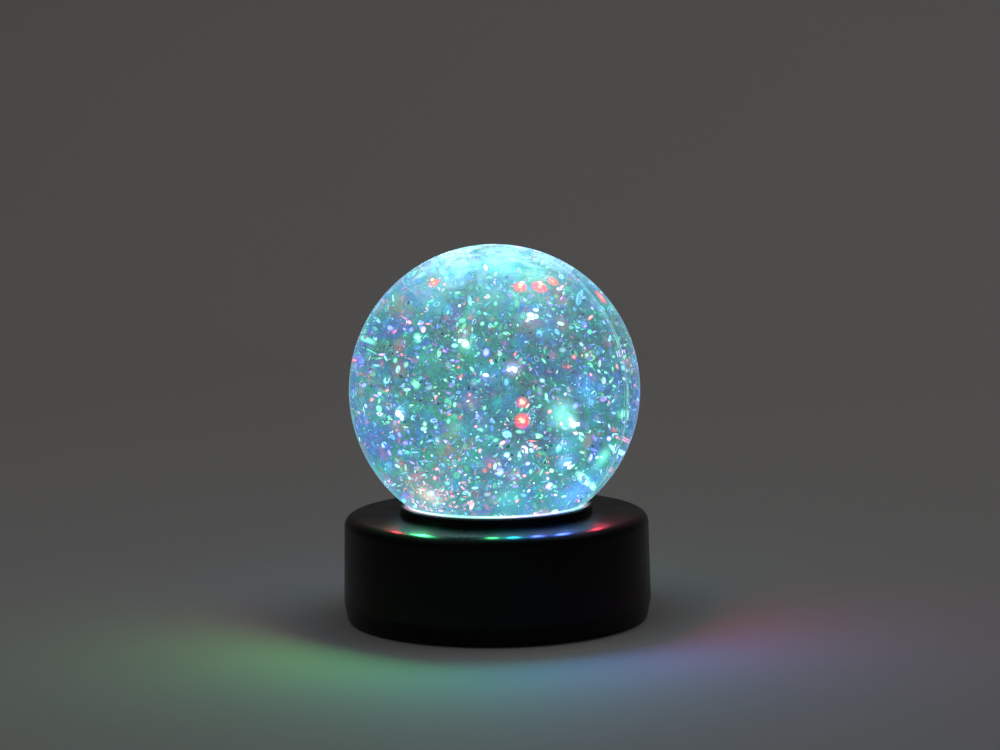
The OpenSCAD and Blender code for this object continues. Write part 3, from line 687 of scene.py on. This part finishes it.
def coat_cad():
    """Give each CAD node that stays visible, inside and out, its material."""
    coats = [
        (moulded("satin_black", (0.005, 0.005, 0.006), 0.30, 0.08, gloss=0.17), "base_housing"),
        (moulded("collar_black", (0.005, 0.005, 0.006), 0.22, 0.06, gloss=0.35), "collar_ring"),
        (moulded("underside_black", (0.030, 0.030, 0.031), 0.55, 0.3), "base_plate battery_door"),
        (moulded("inner_black", (0.05, 0.05, 0.055), 0.6, 0.3), "neck_ring inner_deck"),
        (moulded("knob_black", (0.04, 0.04, 0.042), 0.4), "switch_slider"),
        (moulded("white_plastic", (0.85, 0.85, 0.83), 0.4), "impeller pin_cap light_reflector"),
        (moulded("ivory_plastic", (0.78, 0.74, 0.62), 0.45), "motor_end_cap magnet_carrier"),
        (moulded("board_green", (0.02, 0.18, 0.07), 0.3, 0.05), "led_board"),
        (moulded("chip_black", (0.03, 0.03, 0.03), 0.5), "board_parts"),
        (moulded("ferrite", (0.07, 0.07, 0.075), 0.6), "motor_magnets"),
        (clear_plastic("clear_plug", (0.9, 0.97, 0.99), 0.02), "globe_window impeller_guard"),
        (brushed("steel", (0.62, 0.62, 0.60)),
         "impeller_pin deck_screws base_screws door_screw switch_screws motor_shaft motor_can switch_body "
         "battery_springs"),
        (brushed("nickel", (0.75, 0.74, 0.70), 0.2), "impeller_magnets drive_magnets battery_contacts"),
        (brushed("copper", (0.72, 0.40, 0.20)), "motor_armature"),
        (lit_diode("light_red", (1.0, 0.05, 0.04)), "led_red"),
        (lit_diode("light_green", (0.05, 1.0, 0.25)), "led_green"),
        (lit_diode("light_blue", (0.08, 0.16, 1.0)), "led_blue"),
        (cell_wrap(), "battery_cell_1 battery_cell_2 battery_cell_3"),
        (rubber("rubber_black", (0.03, 0.03, 0.03)), "globe_gasket window_seal rubber_feet"),
        (rubber("lead_red", (0.6, 0.03, 0.02)), "battery_lead_positive switch_lead"),
        (rubber("lead_black", (0.03, 0.03, 0.03)), "battery_lead_negative"),
        (rubber("lead_yellow", (0.75, 0.6, 0.05)), "motor_leads"),
    ]
    for material, nodes in coats:
        for node in nodes.split():
            for held in NODES[node].material_slots:
                held.material = material


# ---------------------------------------------------------------- stage and light

def make_stage():
    """A pale floor that sweeps up into a backdrop."""
    reach, front, back, top, bend = 3.0, -3.0, 1.2, 3.0, 0.5
    outline = [(front, 0.0), (back - bend, 0.0)]
    for i in range(1, 13):
        a = math.radians(90 * i / 12)
        outline.append((back - bend + bend * math.sin(a), bend - bend * math.cos(a)))
    outline.append((back, top))
    bm = bmesh.new()
    rows = [[bm.verts.new((x, y, z)) for x in (-reach, 0, reach)] for y, z in outline]
    for a, b in zip(rows, rows[1:]):
        for k in range(2):
            bm.faces.new([a[k], a[k + 1], b[k + 1], b[k]])
    s = Shader("stage", Roughness=0.8, Specular_IOR_Level=0.1)
    s.set("Base Color", s.mix(s.noise(3, 2), (0.62, 0.61, 0.60), (0.66, 0.65, 0.64)))
    stage = show_smooth("stage", mesh_of("stage", bm), [s.mat])


def area_light(name, shape, size, power, place, towards):
    data = bpy.data.lights.new(name, "AREA")
    data.shape = shape
    data.size = size
    data.energy = power
    made = show(name, data)
    made.location = place
    made.rotation_euler = towards.to_track_quat("-Z", "Y").to_euler()
    return made


def soft_light(name, place, target, power):
    """A wide lamp of the studio."""
    area_light(name, "DISK", 1.4, power, place, Vector(target) - Vector(place))


def beam(name, turn, colour, width, glare):
    """The light of one diode where it leaves the foot of the ball; it shows only as a gleam on the base."""
    a = math.radians(turn)
    out = Vector((0.8 * math.cos(a), 0.8 * math.sin(a), -0.6))
    wide, high = width * MM, 12 * MM
    place = Vector((0, 0, GLOBE_Z)) + out * (GLOBE_R + 1 * MM)
    made = area_light(name, "ELLIPSE", wide, glare * math.pi * wide * high, place, out)
    made.data.size_y = high
    made.data.color = colour
    made.visible_camera = False
    made.visible_transmission = False


def make_light():
    """The beams of the lamp's diodes, two weak studio lamps and a dim grey world."""
    red, green, cyan, blue = (1, 0.03, 0.05), (0.08, 1, 0.30), (0.03, 0.75, 1), (0.10, 0.20, 1)
    beams = [
        # turn in degrees, colour, width in mm, glare
        (205, red, 3, 46), (221, green, 4, 16), (228, green, 6, 80), (268, green, 4, 36), (279, cyan, 5, 38),
        (292, blue, 5, 44), (307, blue, 6, 50), (336, red, 4, 60),
        (60, green, 4, 8), (90, red, 3, 8), (120, blue, 4, 8),
    ]
    for k, (turn, colour, width, glare) in enumerate(beams):
        beam(f"beam_{k}", turn, colour, width, glare)
    soft_light("key", (-0.7, -0.3, 1.5), (0, 0.3, 0), 1.2)
    soft_light("back", (0.8, 0.3, 1.6), (0.1, 0.8, 0.2), 1.8)
    world = bpy.data.worlds.new("world")
    world.use_nodes = True
    world.node_tree.nodes["Background"].inputs["Color"].default_value = (0.040, 0.038, 0.037, 1)
    bpy.context.scene.world = world
    bpy.context.scene.view_settings.view_transform = "Standard"


aim_camera()
make_ball()
make_glitter()
coat_cad()
make_stage()
make_light()
